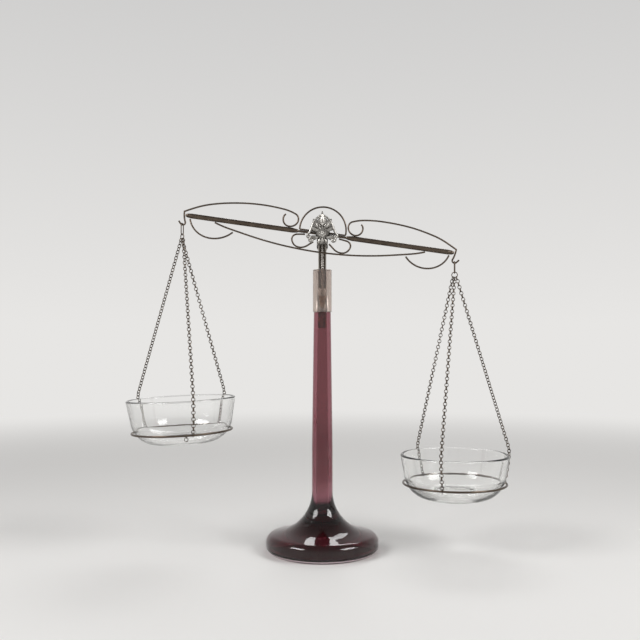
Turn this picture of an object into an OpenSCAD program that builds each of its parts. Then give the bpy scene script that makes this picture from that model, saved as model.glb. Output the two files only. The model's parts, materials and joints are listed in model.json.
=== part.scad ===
// Apothecary balance: a flared glass column, a beam of rod and scrolled wire, and two
// glass bowls that stand in wire hoops on fine chains.
// Millimetres. Z is up, X runs to the right along the beam and Y to the rear.
// The origin is on the column's axis, at the table. The beam is drawn as it rests, right side down.

/* [Column] */
// Height of the glass column
column_h = 237.8; // [190:0.2:290]
// Diameter of the foot
foot_d = 112.6; // [93:0.2:136]
// Outside diameter of the stem, just over the flare
stem_low_d = 20.6; // [17:0.1:25]
// Outside diameter of the stem at its mouth
stem_top_d = 17; // [14.6:0.1:21]
// Diameter of the bore low down
bore_low_d = 12.4; // [8:0.1:14]
// Diameter of the bore at the mouth
bore_top_d = 9; // [8.6:0.1:11]
// Height of the floor of the bore
bore_floor = 34; // [28:0.5:60]
// Radius of the hollow curve that flares the stem into the foot
flare_r = 41; // [30:0.5:46]
// Slope of the shoulder, in degrees
shoulder_slope = 15; // [8:0.5:20]
// Radius of the shoulder's upper edge
shoulder_r = 8; // [5:0.5:10]
// Height of the widest point of the foot
edge_h = 9.5; // [7.5:0.1:14]
// Radius of the foot's lower edge
under_r = 6.5; // [3:0.1:7.4]
// Diameter of the shallow hollow under the foot
kick_d = 72; // [40:1:80]
// Depth of the hollow under the foot
kick_depth = 2.2; // [1:0.1:4]

/* [Collar and screw] */
// Outside diameter of the frosted collar
collar_d = 18.8; // [16:0.1:24]
// Height of the collar
collar_h = 42.4; // [34:0.2:52]
// Bore of the collar
collar_bore_d = 8.6; // [8.4:0.1:10.6]
// Height of the cork above the foot of the collar
cork_up = 16; // [10:0.5:22]
// How far the cork goes down into the stem
cork_down = 16; // [10:0.5:26]
// Thread diameter of the hanger screw
screw_d = 4.4; // [3.6:0.1:5]
// How deep the screw bites into the cork
screw_bite = 14; // [6:0.5:15]

/* [Yoke] */
// Height of the beam's pivot over the top of the collar
pivot_up = 35.4; // [30:0.2:44]
// Outside diameter of the channel round the screw
channel_d = 8.2; // [7.4:0.1:8.3]
// Wall of the channel
channel_wall = 0.9; // [0.7:0.1:1.2]
// How far the channel goes down into the collar
channel_sink = 18; // [8:0.5:20]
// Thickness of each cheek of the yoke
cheek_t = 2.6; // [2:0.1:4]
// Space between the cheeks
cheek_gap = 7; // [6.6:0.1:9]
// Diameter of the pivot pin
pin_d = 3; // [2.4:0.1:4]

/* [Beam] */
// Tilt of the beam at rest on its stop, in degrees
rest_tilt = 8; // [4:0.5:9]
// From the pivot to the seat of the left hook, along the beam
left_reach = 140; // [116:0.5:170]
// From the pivot to the seat of the right hook, along the beam
right_reach = 135; // [112:0.5:164]
// How far the seats of the hooks lie below the beam's axis
hook_drop = 10; // [9:0.1:12]
// Diameter of the rod
rod_d = 5; // [4:0.1:6]
// Diameter of the scroll wire
wire_d = 1.7; // [1.2:0.1:2]
// Diameter of the hub
hub_d = 9; // [7:0.1:11]
// Width of the hub along the pin
hub_w = 5; // [4:0.1:5.2]
// Half width of the centre loop
loop_half = 23.2; // [19:0.2:24]
// Height of the centre loop over the beam's axis
loop_rise = 27.4; // [26:0.2:34]

/* [Pans] */
// From the left hook's seat down to the middle of its hoop
left_drop = 206; // [170:1:250]
// From the right hook's seat down to the middle of its hoop
right_drop = 220; // [180:1:264]
// Radius of the left hoop, to the middle of its wire
left_hoop_r = 49.5; // [46:0.1:50.4]
// Radius of the right hoop, to the middle of its wire
right_hoop_r = 51.2; // [46:0.1:51.4]
// Diameter of the hoops' wire
hoop_wire_d = 2.1; // [1.6:0.1:2.4]
// Turn of the left pan about its own upright axis, in degrees
left_turn = 0; // [-10:1:10]
// Turn of the right pan about its own upright axis, in degrees
right_turn = 0; // [-10:1:10]
// Lean of the left pan, in degrees: its outer side hangs lower below zero
left_lean = -2.5; // [-4:0.5:4]
// Lean of the right pan, in degrees: its outer side hangs lower above zero
right_lean = 0; // [-4:0.5:4]

/* [Bowls] */
// Height of a bowl
bowl_h = 44.3; // [36:0.1:53]
// Radius of the flat floor under a bowl
bowl_floor_r = 25.5; // [21:0.1:30.6]
// Outer radius of the curve from floor to wall
bowl_curve_r = 25; // [20:0.5:28]
// Lean of the wall away from upright, in degrees
bowl_lean = 9.5; // [5:0.1:12]
// Thickness of the left bowl's wall
left_bowl_wall = 2.8; // [2:0.1:4]
// Thickness of the right bowl's wall
right_bowl_wall = 3.3; // [2.6:0.1:4.6]
// Thickness of the left bowl's floor
left_bowl_floor = 3.6; // [3:0.1:6]
// Thickness of the right bowl's floor
right_bowl_floor = 5; // [4:0.1:7]

/* [Chains and rings] */
// Wire diameter of a chain link
link_wire = 0.7; // [0.5:0.05:0.9]
// Distance from one link to the next
link_pitch = 3.15; // [2.8:0.05:4]
// Wire diameter of the long ring on each hook
ring_wire = 1; // [0.8:0.1:1.2]
// Radius of the long ring's ends, to the middle of its wire
ring_end_r = 2.5; // [2.3:0.1:2.8]
// Straight length of the long ring
ring_straight = 6.8; // [5:0.1:10]
// Radius of the gathering ring, to the middle of its wire
gather_r = 2.9; // [2.6:0.1:3.4]
// Wire diameter of the gathering ring
gather_wire = 0.9; // [0.7:0.1:1.1]

/* [Clearances] */
// Gap between brazed or seated pieces
seat_gap = 0.1; // [0.05:0.01:0.2]
// Gap between pieces that swing in each other
swing_gap = 0.25; // [0.15:0.01:0.4]
// Gap between neighbouring links
link_gap = 0.1; // [0.08:0.01:0.15]
// Radial play of the hub on its pin
pin_play = 0.05; // [0.02:0.01:0.08]

/* [Hidden] */
$fn = 48;

LEFT = -1;
RIGHT = 1;
GLASS = "rebeccapurple";
CLEAR = "lightcyan";
FROST = "rosybrown";
CORK = "peru";
IRON = "dimgray";
BRONZE = "darkslategray";
PEWTER = "gray";
CHAIN = "slategray";

// Points of an arc round a centre, from one angle to another.
function arc(centre, r, from, to, steps = 10) =
    [for (i = [0:steps]) centre + r * [cos(from + (to - from) * i / steps),
                                       sin(from + (to - from) * i / steps)]];
function reach(side) = side == LEFT ? left_reach : right_reach;
function drop(side) = side == LEFT ? left_drop : right_drop;
function hoop_r(side) = side == LEFT ? left_hoop_r : right_hoop_r;
function pan_turn(side) = side == LEFT ? left_turn : right_turn;
function pan_lean(side) = side == LEFT ? left_lean : right_lean;
function bowl_wall(side) = side == LEFT ? left_bowl_wall : right_bowl_wall;
function bowl_floor(side) = side == LEFT ? left_bowl_floor : right_bowl_floor;

// Heights on the column and in the collar.
collar_top = column_h + collar_h;
cork_top = column_h + cork_up;
channel_foot = collar_top - channel_sink;
pivot_h = collar_top + pivot_up;
// Radial gap round a pressed or riveted piece.
press_play = 0.05;

// The foot's outline: shoulder, upper edge and lower edge.
stem_low_r = stem_low_d / 2;
foot_r = foot_d / 2;
flare_turn = 90 - shoulder_slope;
flare_end_r = stem_low_r + flare_r * (1 - cos(flare_turn));
shoulder_end_r = foot_r - shoulder_r * (1 - cos(flare_turn));
shoulder_end_h = edge_h + shoulder_r * sin(flare_turn);
flare_end_h = shoulder_end_h + (shoulder_end_r - flare_end_r) * tan(shoulder_slope);
flare_top = flare_end_h + flare_r * sin(flare_turn);
// The stem keeps its width over this share of its height and then tapers to the mouth.
stem_taper_share = 0.44;
bore_corner = 2;

module glass_column() {
    color(GLASS) rotate_extrude($fn = 96) polygon(concat(
        [[0, kick_depth], [kick_d / 2 - kick_depth, kick_depth], [kick_d / 2, 0]],
        arc([foot_r - under_r, under_r], under_r, -90, 0, 6),
        arc([foot_r - shoulder_r, edge_h], shoulder_r, 0, flare_turn, 8),
        arc([stem_low_r + flare_r, flare_top], flare_r, 180 + flare_turn, 180, 14),
        [[stem_low_r, column_h * stem_taper_share], [stem_top_d / 2, column_h]],
        [[bore_top_d / 2, column_h], [bore_low_d / 2, column_h * stem_taper_share]],
        arc([bore_low_d / 2 - bore_corner, bore_floor + bore_corner], bore_corner, 0, -90, 4),
        [[0, bore_floor]]
    ));
}

collar_edge = 0.6;

module frosted_collar() {
    color(FROST) translate([0, 0, column_h]) difference() {
        rotate_extrude($fn = 72) polygon([
            [0, 0], [collar_d / 2 - collar_edge, 0], [collar_d / 2, collar_edge],
            [collar_d / 2, collar_h - collar_edge], [collar_d / 2 - collar_edge, collar_h],
            [0, collar_h]
        ]);
        translate([0, 0, -1]) cylinder(d = collar_bore_d, h = collar_h + 2);
    }
}

cork_d = min(collar_bore_d, bore_top_d) - 2 * press_play;
screw_tip_h = cork_top - screw_bite;
screw_point = 5;

module cork_bung() {
    color(CORK) difference() {
        translate([0, 0, column_h - cork_down]) cylinder(d = cork_d, h = cork_down + cork_up);
        translate([0, 0, screw_tip_h + screw_point])
            cylinder(d = screw_d + 2 * press_play, h = screw_bite);
        translate([0, 0, screw_tip_h - press_play])
            cylinder(d1 = 2 * press_play, d2 = screw_d + 2 * press_play,
                     h = screw_point + press_play);
    }
}

// The yoke: a channel with a wider head that the cheeks are riveted to.
head_w = 11;
head_h = 8.4;
head_below_pivot = 8;
head_roof = 2.6;
head_taper = 2.6;
shoulder = 1;
head_top = pivot_h - head_below_pivot;
head_foot = head_top - head_h;
slot_w = channel_d - 2 * channel_wall;
slot_top = head_top - head_roof;
cheek_foot = head_foot + shoulder + seat_gap;

// The outline that the yoke's head and both cheeks share, from a foot up to a height.
module head_outline(foot, top) {
    polygon([[-head_w / 2, top], [head_w / 2, top], [head_w / 2, foot + head_taper],
        [channel_d / 2, foot], [-channel_d / 2, foot], [-head_w / 2, foot + head_taper]]);
}

module hanger_screw() {
    color(IRON) {
        translate([0, 0, screw_tip_h + screw_point])
            cylinder(d = screw_d, h = slot_top - press_play - screw_tip_h - screw_point);
        translate([0, 0, screw_tip_h]) cylinder(d1 = 0.1, d2 = screw_d, h = screw_point);
    }
}

rivet_d = 1.4;
rivet_head = 0.9;
rivet_inset = 1.1;
rivet_x = head_w / 2 - rivet_inset;
rivet_h = head_top - head_h / 2;
head_d = cheek_gap - 2 * press_play;

module yoke_channel() {
    color(BRONZE) difference() {
        union() {
            translate([0, 0, channel_foot])
                cylinder(d = channel_d, h = head_foot + shoulder - channel_foot);
            plate(-head_d / 2, head_d) head_outline(head_foot, head_top);
        }
        translate([0, 0, channel_foot - 1]) cylinder(d = slot_w, h = slot_top - channel_foot + 1);
        front_slot();
        rivet_holes(-head_w, head_w);
    }
}

cheek_front = cheek_gap / 2;
cheek_r = head_w / 2 + 0.5;
// How deep the pin and the rivets go into the ornament's plate from behind.
pin_bite = 1.6;
pin_front = cheek_front + pin_bite;
nut_t = 2.2;
nut_over_pin = 2.1;
pin_end = 0.8;
pin_rear = cheek_front + cheek_t + nut_t + pin_end;
washer_step = 1.6;

// A flat plate in the plane of the cheeks: drawn in X and Z, thick along Y from y on.
module plate(y, t) {
    translate([0, y + t, 0]) rotate([90, 0, 0]) linear_extrude(t) children();
}

// What opens the channel, and the ornament's foot before it, to the front.
module front_slot() {
    translate([-slot_w / 2, -2 * head_w, channel_foot - 1])
        cube([slot_w, 2 * head_w, slot_top - channel_foot + 1]);
}

module pin_hole(from, to) {
    translate([0, to, pivot_h]) rotate([90, 0, 0])
        cylinder(d = pin_d + 2 * press_play, h = to - from);
}

module rivet_holes(from, to) {
    for (x = [-rivet_x, rivet_x]) {
        translate([x, to, rivet_h]) rotate([90, 0, 0])
            cylinder(d = rivet_d + 2 * press_play, h = to - from);
    }
}

// A pointed leaf, as the overlap of two discs: its foot at a place, turned from upright.
module leaf(at, length, width, turn, t) {
    r = (length * length + width * width) / (4 * width);
    translate([at[0], 0, at[1]]) rotate([0, turn, 0]) translate([0, 0, length / 2])
        rotate([90, 0, 0]) intersection() {
            translate([r - width / 2, 0, 0]) cylinder(r = r, h = t, $fn = 60);
            translate([width / 2 - r, 0, 0]) cylinder(r = r, h = t, $fn = 60);
        }
}

// The cast ornament: a fan of leaves over a rosette, and an arm with a volute at each side.
// Places on it are across and up from the pivot.
ornament_t = 2.6;
ornament_face = -cheek_front - ornament_t;
sink = 0.5;
fan_foot = 4;
fan_body_r = 8.2;
crest_r = 4.2;
crest_up = 14;
FAN_TURNS = [-80, -54, -27, 0, 27, 54, 80];
fan_length = 16;
fan_droop = 0.07;
leaf_w = 4.4;
leaf_t = 1.7;
side_leaf_foot = [2, -3];
side_leaf_length = 11;
side_leaf_turn = 105;
rosette_r = 4.6;
rosette_dome = 2;
arm_d = 2;
ARM = [[2.5, 15.5], [7.6, 12.6], [10.6, 6.4], [13.6, 0.6], [15.4, -4.2], [13.4, -8],
    [9.8, -6.6], [10.2, -3.6], [12.2, -3.9]];
ARM_HEADING = -10;
finial_d = 2.2;

module front_ornament() {
    color(PEWTER) difference() {
        union() {
            plate(ornament_face, ornament_t) union() {
                translate([0, pivot_h + fan_foot]) circle(r = fan_body_r);
                translate([0, pivot_h + crest_up]) circle(r = crest_r);
                head_outline(cheek_foot, pivot_h);
            }
            translate([0, ornament_face + sink, pivot_h]) {
                for (turn = FAN_TURNS)
                    leaf([fan_body_r / 4 * sin(turn), fan_foot + fan_body_r / 4 * cos(turn)],
                         fan_length - abs(turn) * fan_droop, leaf_w, turn, leaf_t);
                for (s = [-1, 1])
                    leaf([s * side_leaf_foot[0], side_leaf_foot[1]], side_leaf_length, leaf_w,
                         s * side_leaf_turn, leaf_t);
                rotate([90, 0, 0]) rotate_extrude() polygon([[0, 0], [rosette_r, 0],
                    [rosette_r, sink], [rosette_r * 0.7, sink + rosette_dome * 0.8],
                    [0, sink + rosette_dome]]);
            }
            translate([0, -cheek_front - ornament_t / 2, pivot_h]) {
                for (s = [0, 1]) mirror([s, 0, 0]) bent_wire(ARM, ARM_HEADING, arm_d);
                translate([0, 0, fan_foot + fan_length + fan_body_r / 4])
                    sphere(d = finial_d, $fn = 24);
            }
        }
        pin_hole(-pin_front - press_play, 0);
        rivet_holes(-pin_front - press_play, 0);
        front_slot();
    }
}

module rear_cheek() {
    color(BRONZE) difference() {
        union() {
            plate(cheek_front, cheek_t) translate([0, pivot_h]) circle(r = cheek_r);
            plate(cheek_front, cheek_t) head_outline(cheek_foot, pivot_h);
        }
        pin_hole(0, 2 * cheek_gap);
        rivet_holes(0, 2 * cheek_gap);
    }
}

module pivot_pin() {
    color(IRON) translate([0, pin_rear, pivot_h]) rotate([90, 0, 0])
        cylinder(d = pin_d, h = pin_front + pin_rear);
}

module pivot_washers() {
    t = (cheek_gap - hub_w) / 2 - 2 * seat_gap;
    color(IRON) for (y = [-hub_w / 2 - seat_gap, cheek_gap / 2 - seat_gap]) {
        translate([0, y, pivot_h]) rotate([90, 0, 0]) difference() {
            cylinder(d = hub_d - washer_step, h = t);
            translate([0, 0, -1]) cylinder(d = pin_d + 2 * press_play, h = t + 2);
        }
    }
}

module pivot_nut() {
    rear = cheek_front + cheek_t;
    color(IRON) translate([0, rear + seat_gap + nut_t, pivot_h]) rotate([90, 0, 0]) difference() {
        cylinder(d = pin_d * nut_over_pin, h = nut_t, $fn = 6);
        translate([0, 0, -1]) cylinder(d = pin_d + 2 * press_play, h = nut_t + 2);
    }
}

module cheek_rivets() {
    head = cheek_front + cheek_t + rivet_head;
    color(IRON) for (x = [-rivet_x, rivet_x]) {
        translate([x, head, rivet_h]) rotate([90, 0, 0]) {
            cylinder(d = rivet_d, h = head + pin_front - press_play);
            cylinder(d1 = rivet_d, d2 = 1.8 * rivet_d, h = rivet_head - press_play);
        }
    }
}

// The beam is drawn level, along U to the right and V up, and then tilted about its pivot.
module on_beam() {
    translate([0, 0, pivot_h]) rotate([0, rest_tilt, 0]) children();
}

// Where a point of the beam lies in the object's frame.
function beam_point(u, v) = [u * cos(rest_tilt) + v * sin(rest_tilt), 0,
                             pivot_h - u * sin(rest_tilt) + v * cos(rest_tilt)];

// A wire bent through points: each stretch is the one arc that leaves the last in line.
function chord_angle(a, b) = atan2(b[1] - a[1], b[0] - a[0]);
function signed(a) = a > 180 ? signed(a - 360) : a < -180 ? signed(a + 360) : a;
function headings(points, first, i = 0) = i >= len(points) - 1 ? [first]
    : concat([first], headings(points,
        first + 2 * signed(chord_angle(points[i], points[i + 1]) - first), i + 1));

// The stretches stop short of each other and a ball, a hair thicker than the wire, joins them.
joint_swell = 1.035;
joint_gap = 0.1;

module stretch(a, b, heading, d) {
    bend = signed(chord_angle(a, b) - heading);
    run = norm(b - a);
    if (abs(bend) < 0.3) {
        translate([a[0], 0, a[1]]) rotate([0, 90 - chord_angle(a, b), 0])
            translate([0, 0, joint_gap]) cylinder(d = d, h = run - 2 * joint_gap, $fn = 20);
    } else {
        r = run / (2 * sin(abs(bend)));
        s = sign(bend);
        short = joint_gap / r * 180 / PI;
        translate([a[0] - s * r * sin(heading), 0, a[1] + s * r * cos(heading)])
            rotate([90, 0, 0]) rotate([0, 0, short + (s > 0 ? heading - 90 : heading + 90 + 2 * bend)])
                rotate_extrude(angle = 2 * abs(bend) - 2 * short, $fn = 180)
                    translate([r, 0]) circle(d = d, $fn = 20);
    }
}

module ball(at, d = wire_d) {
    translate([at[0], 0, at[1]]) sphere(d = d * joint_swell, $fn = 24);
}

module bent_wire(points, heading, d = wire_d) {
    turns = headings(points, heading);
    for (i = [0:len(points) - 2]) stretch(points[i], points[i + 1], turns[i], d);
    for (i = [1:1:len(points) - 2]) ball(points[i], d);
}

// A wire's points on one side: U is drawn for an arm of this reach and follows the real one.
drawn_reach = 137.5;
function along(side, points) =
    [for (p = points) [p[0] * reach(side) / drawn_reach, p[1]]];

// The two sides of the beam are mirror images but for their reach.
module on_side(side) {
    mirror([side == LEFT ? 1 : 0, 0, 0]) children();
}

module beam_hub() {
    color(BRONZE) on_beam() rotate([90, 0, 0]) difference() {
        cylinder(d = hub_d, h = hub_w, center = true);
        cylinder(d = pin_d + 2 * pin_play, h = hub_w + 2, center = true);
    }
}

// The rod: a thin bar from the hub, a taper, the full rod and a tapered nose at the hook.
bar_d = 2.4;
taper_start = 24.2;
taper_end = 30;
nose = 6;
// How far the rod stops short of the hook's seat.
rod_stop = 2.1;

module arm_rod(side) {
    r = rod_d / 2;
    tip = reach(side) - rod_stop;
    color(BRONZE) on_beam() on_side(side) rotate([0, 90, 0]) rotate_extrude($fn = 40) polygon([
        [0, hub_d / 2 + seat_gap], [bar_d / 2, hub_d / 2 + seat_gap], [bar_d / 2, taper_start],
        [r * 0.72, taper_start + 1], [r, taper_end],
        [r, tip - nose], [r * 0.8, tip - nose / 3], [r * 0.45, tip], [0, tip]
    ]);
}

module left_arm_rod() { arm_rod(LEFT); }
module right_arm_rod() { arm_rod(RIGHT); }

bar_rise = bar_d / 2 + wire_d / 2 + seat_gap;
loop_foot = loop_rise - loop_half;
loop_corner = 1.2;

module centre_loop() {
    inner = sqrt(pow(hub_d / 2 + seat_gap, 2) - pow(bar_rise - wire_d / 2, 2));
    half = [[inner, bar_rise], [loop_half - loop_corner, bar_rise],
        [loop_half, bar_rise + loop_corner], [loop_half, loop_foot]];
    color(BRONZE) on_beam() bent_wire(concat(half, [[0, loop_rise]],
        [for (i = [len(half) - 1:-1:0]) [-half[i][0], half[i][1]]]), 0);
}

// From the beam's axis to a wire that rests on the rod.
wire_rest = rod_d / 2 + wire_d / 2 + seat_gap;

// The top scroll runs from the rod's end over the arm to its curl on the rod. The hook hangs
// from the end of the scroll: its upper points are set from the rod's end, and the lower ones
// from the seat that the long ring hangs in.
HOOK_TOP = [[-0.3, 3.6], [-1, -2]];
HOOK_FOOT = [[-2.5, 3.4], [-1.2, 0.2], [1.6, 0.8], [4, 3.6]];
HOOK_HEADING = -92;
TOP_HEADING = 152;

module top_scroll(side) {
    hook = concat([for (p = HOOK_TOP) [reach(side) + p[0], p[1]]],
                  [for (p = HOOK_FOOT) [reach(side) + p[0], p[1] - hook_drop]]);
    top = along(side, [[126, 9.2], [113, 14], [99, 17.3], [85, 19.5], [57, 20.9], [40, 19.6],
        [28.8, 16.6], [25.2, 11], [28.4, 5], [34, wire_rest], [39.3, 7], [39.7, 13], [37.8, 15]]);
    color(BRONZE) on_beam() on_side(side) {
        bent_wire(concat([hook[0]], top), TOP_HEADING);
        ball(hook[0]);
        bent_wire(hook, HOOK_HEADING);
    }
}

module left_top_scroll() { top_scroll(LEFT); }
module right_top_scroll() { top_scroll(RIGHT); }

// The bow and the swags lie in a plane that leans back, so that the bow clears the channel.
bow_dip = 19.5;
bow_clear = 0.7;
bow_back = channel_d / 2 + wire_d / 2 + bow_clear;
bow_lean = atan2(bow_back, bow_dip);

module leaning() {
    rotate([-bow_lean, 0, 0]) children();
}

module lower_bow() {
    half = [[0, -bow_dip], [40, -17.2], [70, -12.4], [92, -7.7], [106, -wire_rest]];
    color(BRONZE) on_beam() leaning() {
        for (side = [LEFT, RIGHT]) on_side(side) bent_wire(along(side, half), 0);
        ball(half[0]);
    }
}

module swag(side) {
    color(BRONZE) on_beam() leaning() on_side(side)
        bent_wire(along(side, [[130.5, -wire_rest], [108, -20.8], [87, -11.2]]), 253);
}

module left_swag() { swag(LEFT); }
module right_swag() { swag(RIGHT); }

module curl(side) {
    color(BRONZE) on_beam() on_side(side)
        bent_wire([[7.9, -8.6], [13, -12.8], [18, -15.5], [23.5, -15.6], [28, -12.5], [29.5, -9],
            [28.3, -5], [25, -3.3], [17, -2.3]], -38);
}

module left_curl() { curl(LEFT); }
module right_curl() { curl(RIGHT); }

// The pans. Each hangs straight down from the seat of its hook.
function seat(side) = beam_point(side * reach(side), -hook_drop);
function ring_top(side) = seat(side) + [0, 0, wire_d / 2 + ring_wire / 2 + swing_gap];
function ring_foot(side) = ring_top(side) - [0, 0, ring_straight + 2 * ring_end_r];
function gather_top(side) = ring_foot(side) + [0, 0, ring_wire / 2 + gather_wire / 2 + swing_gap];
function hoop_centre(side) = seat(side) - [0, 0, drop(side)];
ring_plane = 74;

// A closed ring of wire with straight sides, in the plane of X and Z.
module long_link(end_r, straight, d) {
    for (s = [-1, 1]) {
        translate([s * end_r, 0, 0]) cylinder(d = d, h = straight, center = true, $fn = 24);
        translate([0, 0, s * straight / 2]) rotate([90, 0, 0]) rotate([0, 0, s > 0 ? 0 : 180])
            rotate_extrude(angle = 180, $fn = 40) translate([end_r, 0]) circle(d = d, $fn = 24);
    }
}

module long_ring(side) {
    middle = (ring_top(side) + ring_foot(side)) / 2;
    color(BRONZE) translate(middle) rotate([0, 0, ring_plane])
        long_link(ring_end_r, ring_straight, ring_wire);
}

module left_long_ring() { long_ring(LEFT); }
module right_long_ring() { long_ring(RIGHT); }

module round_link(r, d) {
    rotate([90, 0, 0]) rotate_extrude($fn = 24) translate([r, 0]) circle(d = d, $fn = 12 + 1);
}

// Where the chains meet the hoop: front, inner and outer on the left, front, outer and inner
// on the right. Each has its place on the gathering ring, as a turn from its lowest point.
LEFT_AZIMUTHS = [-68.5, 47, 150.5];
LEFT_SPOTS = [38, 0, -38];
RIGHT_AZIMUTHS = [-112, 7, 124];
RIGHT_SPOTS = [0, 38, -38];
function azimuth(side, k) = (side == LEFT ? LEFT_AZIMUTHS : RIGHT_AZIMUTHS)[k] + pan_turn(side);
function spot(side, k) = (side == LEFT ? LEFT_SPOTS : RIGHT_SPOTS)[k];

// The gathering ring stands upright, in the plane between the chains on its outer spots.
OUTER_CHAINS = [[0, 2], [1, 2]];
function gather_turn(side) = let (pair = OUTER_CHAINS[side == LEFT ? 0 : 1])
    (azimuth(side, pair[0]) + azimuth(side, pair[1]) - 180) / 2;

module gather_ring(side) {
    color(BRONZE) translate(gather_top(side) - [0, 0, gather_r])
        rotate([0, 0, gather_turn(side)]) round_link(gather_r, gather_wire);
}

module left_gather_ring() { gather_ring(LEFT); }
module right_gather_ring() { gather_ring(RIGHT); }

// The bowl's outside: a flat floor, a round corner and a leaning wall.
wall_start_h = bowl_curve_r * (1 - sin(bowl_lean));
wall_start_r = bowl_floor_r + bowl_curve_r * cos(bowl_lean);
function bowl_r(h) = h >= wall_start_h ? wall_start_r + (h - wall_start_h) * tan(bowl_lean)
    : bowl_floor_r + sqrt(pow(bowl_curve_r, 2) - pow(bowl_curve_r - h, 2));

// The links that carry the hoop pass between it and the bowl, so the bowl rests on them.
hoop_bowl_gap = link_wire + 3 * swing_gap;
hoop_stand = hoop_wire_d / 2 + hoop_bowl_gap;
// How far the hoop lies over the bowl's base: on its round corner, or higher up on its wall.
function hoop_on_bowl(side) = let (out = hoop_r(side) - bowl_floor_r, r = bowl_curve_r + hoop_stand)
    out <= r * cos(bowl_lean) ? bowl_curve_r - sqrt(r * r - out * out)
    : wall_start_h + (hoop_r(side) - hoop_stand * cos(bowl_lean) - wall_start_r) / tan(bowl_lean)
        - hoop_stand * sin(bowl_lean);

// The hoop and its bowl are drawn round the hoop's centre and lean with the pan.
module in_pan(side) {
    translate(hoop_centre(side)) rotate([0, pan_lean(side), 0]) children();
}

function pan_point(side, p) = let (lean = pan_lean(side)) hoop_centre(side)
    + [p[0] * cos(lean) + p[2] * sin(lean), p[1], p[2] * cos(lean) - p[0] * sin(lean)];

module hoop(side) {
    color(BRONZE) in_pan(side) rotate_extrude($fn = 96)
        translate([hoop_r(side), 0]) circle(d = hoop_wire_d, $fn = 24);
}

module left_hoop() { hoop(LEFT); }
module right_hoop() { hoop(RIGHT); }

module bowl(side) {
    wall = bowl_wall(side);
    inner_r = bowl_curve_r - wall;
    floor_h = bowl_floor(side);
    rim_r = bowl_r(bowl_h);
    lip = wall / 2;
    color(CLEAR) in_pan(side) translate([0, 0, -hoop_on_bowl(side)])
        rotate_extrude($fn = 96) polygon(concat(
        [[0, 0]],
        arc([bowl_floor_r, bowl_curve_r], bowl_curve_r, -90, -bowl_lean, 10),
        arc([rim_r - lip, bowl_h - lip], lip, 0, 180, 6),
        arc([bowl_floor_r, floor_h + inner_r], inner_r, -bowl_lean, -90, 10),
        [[0, floor_h]]
    ));
}

module left_bowl() { bowl(LEFT); }
module right_bowl() { bowl(RIGHT); }

// A chain runs from the gathering ring to the rim, down beside the wall and round the hoop.
link_r = (link_pitch + link_wire + link_gap) / 2;
rim_stand = link_r + link_wire / 2 + 2 * swing_gap;
rim_over = 2;
// How far over the hoop the chain turns in to it, and how much further out it stands there.
wall_leg = 6;
turn_stand = rim_stand + 2 * swing_gap;
function around(a, r, z) = [r * cos(a), r * sin(a), z];
function chain_top(side, k) = gather_top(side) - [0, 0, gather_r]
    + around(gather_turn(side), gather_r * sin(spot(side, k)), -gather_r * cos(spot(side, k)));
// The way that the gathering ring's wire runs there.
function wire_way(side, k) =
    around(gather_turn(side), cos(spot(side, k)), sin(spot(side, k)));
function chain_path(side, k) =
    let (a = azimuth(side, k), base = -hoop_on_bowl(side),
         hang = link_r - link_wire / 2 - link_gap,
         low_h = hoop_on_bowl(side) + wall_leg,
         rim_h = bowl_h + rim_over,
         foot = pan_point(side, around(a, hoop_r(side) + link_gap * 2, hang - hoop_wire_d / 2)),
         low = pan_point(side, around(a, bowl_r(low_h) + turn_stand, base + low_h)),
         rim = pan_point(side, around(a, bowl_r(rim_h) + rim_stand, base + rim_h)),
         top = chain_top(side, k),
         away = (rim - top) / norm(rim - top))
    [top + away * (hang - gather_wire / 2), rim, low, foot];
function run_to(path, i) = i == 0 ? 0 : run_to(path, i - 1) + norm(path[i] - path[i - 1]);
function leg_at(path, s, i = 0) =
    i >= len(path) - 2 || s <= run_to(path, i + 1) ? i : leg_at(path, s, i + 1);
function place_at(path, s) = let (i = leg_at(path, s),
    t = (s - run_to(path, i)) / norm(path[i + 1] - path[i])) path[i] + t * (path[i + 1] - path[i]);
// The chain turns a corner of its path over a few links.
corner_links = 1.5;
function eased_at(path, s, length) = let (w = min(corner_links * link_pitch, s, length - s))
    (place_at(path, s - w) + place_at(path, s) + place_at(path, s + w)) / 3;

// A link stands in the upright plane through its chain, turned a quarter from its neighbours.
// The turns that bring its axis to the chain's way, and a vector seen in that frame.
function link_turns(way, a) = let (w = way / norm(way))
    [-asin(w[1] * cos(a) - w[0] * sin(a)), atan2(w[0] * cos(a) + w[1] * sin(a), w[2]), a];
function in_frame(t, turns) =
    let (x = t[0] * cos(turns[2]) + t[1] * sin(turns[2]),
         y = t[1] * cos(turns[2]) - t[0] * sin(turns[2]),
         z = x * sin(turns[1]) + t[2] * cos(turns[1]))
    [x * cos(turns[1]) - t[2] * sin(turns[1]), y * cos(turns[0]) + z * sin(turns[0])];
// The first link's roll sets it square to the wire that it hangs on.
function first_roll(side, k, turns) = let (t = in_frame(wire_way(side, k), turns)) atan2(-t[0], t[1]);

module chain(side, k) {
    path = chain_path(side, k);
    length = run_to(path, len(path) - 1);
    last = round(length / link_pitch);
    step = length / last;
    a = azimuth(side, k);
    first = first_roll(side, k, link_turns(path[0] - path[1], a));
    final = 90 * (last % 2) + 180 * round((first - 90 * (last % 2)) / 180);
    color(CHAIN) for (i = [0:last]) {
        before = eased_at(path, max(0, (i - 0.5) * step), length);
        after = eased_at(path, min(length, (i + 0.5) * step), length);
        translate(eased_at(path, i * step, length)) rotate(link_turns(before - after, a))
            rotate([0, 0, first + (final - first) * i / last + 90 * (i % 2)])
                round_link(link_r, link_wire);
    }
}

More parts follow.
